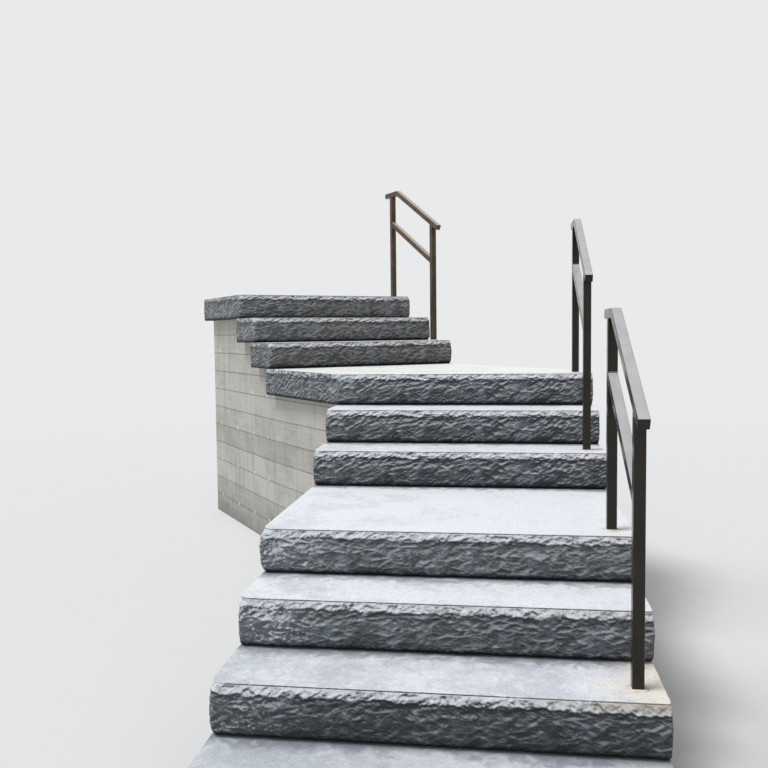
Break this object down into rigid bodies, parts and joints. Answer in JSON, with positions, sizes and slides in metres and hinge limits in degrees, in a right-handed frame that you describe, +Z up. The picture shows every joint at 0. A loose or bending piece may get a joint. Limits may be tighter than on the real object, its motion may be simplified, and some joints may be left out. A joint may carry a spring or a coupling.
{
  "type": "garden stair",
  "caption": "Garden stair of rock-faced concrete steps with landings, turning left near the top, on a concrete foundation, with a square-tube handrail beside each flight.",
  "frame": {"origin": "middle of the bottom step's bearing face, on the ground", "axes": "+Y up the two straight flights, +X to the right of someone climbing, +Z up"},
  "size_m": [2.9959, 6.065, 2.635],
  "materials": {
    "step_concrete": "rock-faced, with a smooth tread",
    "foundation_concrete": "formed",
    "grout": "trowelled",
    "rail_paint": "satin powder coat"
  },
  "bodies": {
    "root": {"step_01": "step_concrete", "step_02": "step_concrete", "step_03": "step_concrete", "step_04": "step_concrete", "step_05": "step_concrete", "step_06": "step_concrete", "step_07": "step_concrete", "step_08": "step_concrete", "step_09": "step_concrete", "step_10": "step_concrete", "foundation_lower_left": "foundation_concrete", "foundation_lower_right": "foundation_concrete", "foundation_middle_left": "foundation_concrete", "foundation_middle_right": "foundation_concrete", "foundation_landing": "foundation_concrete", "foundation_upper_left": "foundation_concrete", "foundation_upper_right": "foundation_concrete", "foundation_cross_lower": "foundation_concrete", "foundation_cross_middle": "foundation_concrete", "foundation_back": "foundation_concrete", "lower_rail_front_post": "rail_paint", "lower_rail_rear_post": "rail_paint", "lower_rail_top": "rail_paint", "lower_rail_mid": "rail_paint", "middle_rail_front_post": "rail_paint", "middle_rail_rear_post": "rail_paint", "middle_rail_top": "rail_paint", "middle_rail_mid": "rail_paint", "upper_rail_front_post": "rail_paint", "upper_rail_rear_post": "rail_paint", "upper_rail_top": "rail_paint", "upper_rail_mid": "rail_paint", "lower_rail_front_seat": "grout", "lower_rail_rear_seat": "grout", "middle_rail_front_seat": "grout", "middle_rail_rear_seat": "grout", "upper_rail_front_seat": "grout", "upper_rail_rear_seat": "grout"}
  },
  "joints": []
}
